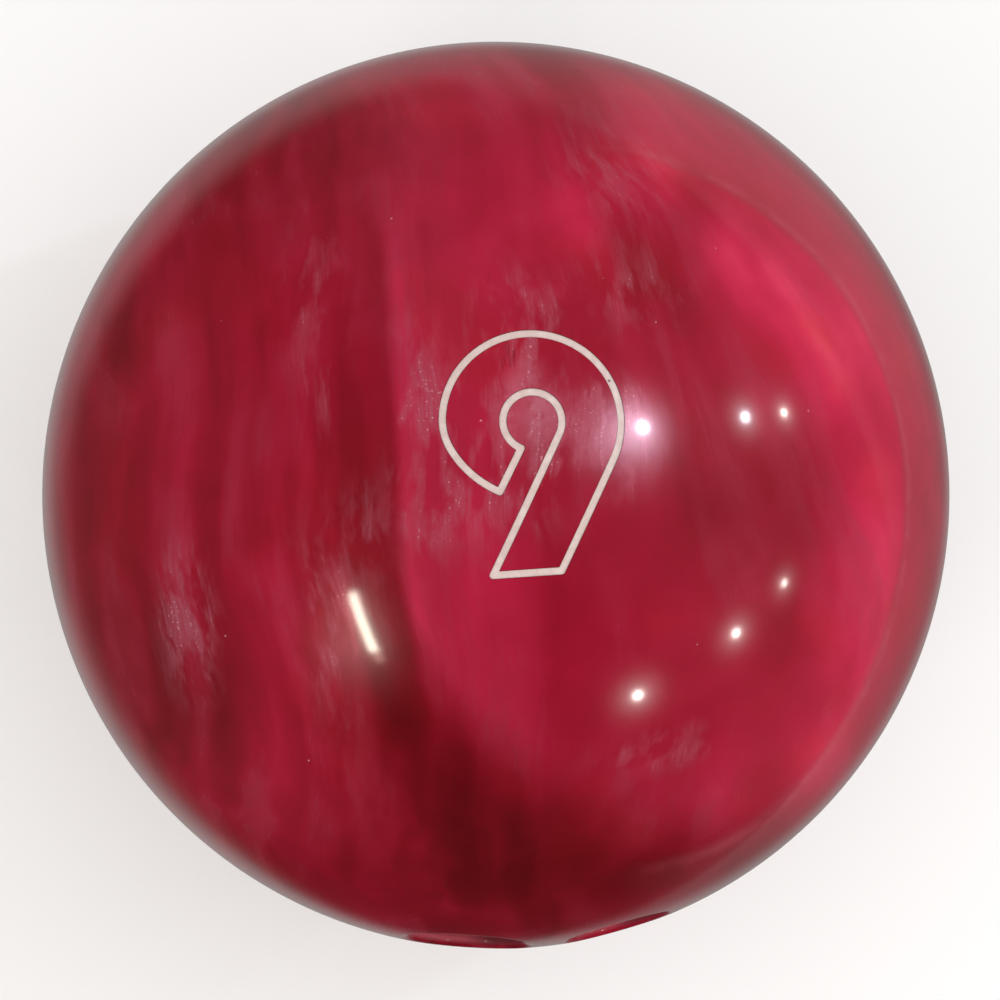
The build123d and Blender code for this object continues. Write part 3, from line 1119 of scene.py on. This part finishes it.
azimuth = g.math("ARCTAN2", hx, g.times(hy, -1.0))
curve = g.node("ShaderNodeFloatCurve")
points = curve.mapping.curves[0].points
while len(points) < len(SKYLINE):
    points.new(0.5, 0.5)
for point, (turn, height) in zip(points, SKYLINE):
    point.location = (turn / 360 + 0.5, 1 + height / 90)
curve.mapping.update()
g.plug(g.plus(0.5, azimuth, 0.5 / math.pi), curve.inputs["Value"])
skyline = g.times(g.math("SUBTRACT", curve.outputs[0], 1.0), math.pi / 2)
under = g.math("SUBTRACT", skyline, g.math("ARCSINE", hz))
soft = g.step(hx, 0.0, 0.5, 0.15, 0.012)
table = g.step(under, g.times(soft, -1.0), soft)
table_edge = g.times(g.step(under, 0.16, 0.0, 0.0, 0.10), g.step(hx, 0.2, 0.6))
table_light = g.plus(g.step(hx, -0.3, 0.6, 0.17, 0.12), table_edge)
table_light = g.times(table_light, g.step(hy, -0.75, -0.2, 0.7, 1.0))
table_light = g.plus(table_light, g.step(hz, -0.80, -0.94, 0.0, 0.16))
table_light = g.plus(table_light, g.step(hy, 0.05, 0.45, 0.0, 0.06))
room = toward(*ROOM_GLOWS[0])
for glow in ROOM_GLOWS[1:]:
    room = g.plus(room, toward(*glow))
room = g.times(g.plus(room, ROOM_LEVEL), g.math("SUBTRACT", 1.0, toward(*ROOM_DIM)))
room = g.plus(g.times(room, g.math("SUBTRACT", 1.0, table)), g.times(table, table_light))
for lobe in LAMP_HAZES:
    room = g.plus(room, haze(*lobe))
cool = g.plus(haze(*COOL_HAZES[0]), haze(*COOL_HAZES[1]))
room_color = g.vector(
    "ADD", g.vector("SCALE", ROOM_TINT, scale=room), g.vector("SCALE", HAZE_TINT, scale=cool)
)

# Diffuse light comes from an even dome, the gloss sees the room, and the
# camera sees a plain backdrop.
path = g.node("ShaderNodeLightPath")
dome, glossy_room, backdrop = (g.node("ShaderNodeBackground") for _ in range(3))
dome.inputs["Color"].default_value = (1.0, 0.995, 0.99, 1)
backdrop.inputs["Color"].default_value = (0.92, 0.917, 0.912, 1)
g.plug(room_color, glossy_room.inputs["Color"])
first, second = g.node("ShaderNodeMixShader"), g.node("ShaderNodeMixShader")
for mixer, values in (
    (first, (path.outputs["Is Glossy Ray"], dome.outputs[0], glossy_room.outputs[0])),
    (second, (path.outputs["Is Camera Ray"], first.outputs[0], backdrop.outputs[0])),
):
    for value, socket in zip(values, mixer.inputs):
        g.plug(value, socket)
g.plug(second.outputs[0], g.node("ShaderNodeOutputWorld").inputs["Surface"])
world.cycles.sampling_method = "NONE"

# The camera looks down from a little toward -X and -Y of straight above.
VIEW_ELEVATION = 83.99
VIEW_AZIMUTH = -47.85
VIEW_DISTANCE = 0.639
AIM_RIGHT, AIM_DOWN = 0.98 * MM, 1.11 * MM
LENS, SENSOR = 94.7, 36
NEAR, FAR = 0.01, 50
ROLL_TOWARD = Vector((0.0643, 0.9951, 0.0753))
back = Vector(direction(VIEW_ELEVATION, VIEW_AZIMUTH))
up = (ROLL_TOWARD - back * ROLL_TOWARD.dot(back)).normalized()
right = up.cross(back)
camera_data = bpy.data.cameras.new("camera")
camera_data.lens = LENS
camera_data.sensor_width = SENSOR
camera_data.clip_start, camera_data.clip_end = NEAR, FAR
camera = bpy.data.objects.new("camera", camera_data)
scene.collection.objects.link(camera)
place = back * VIEW_DISTANCE
z_axis = (place - right * AIM_RIGHT + up * AIM_DOWN).normalized()
x_axis = up.cross(z_axis).normalized()
y_axis = z_axis.cross(x_axis)
camera.matrix_world = Matrix((x_axis, y_axis, z_axis)).transposed().to_4x4()
camera.location = place
scene.camera = camera
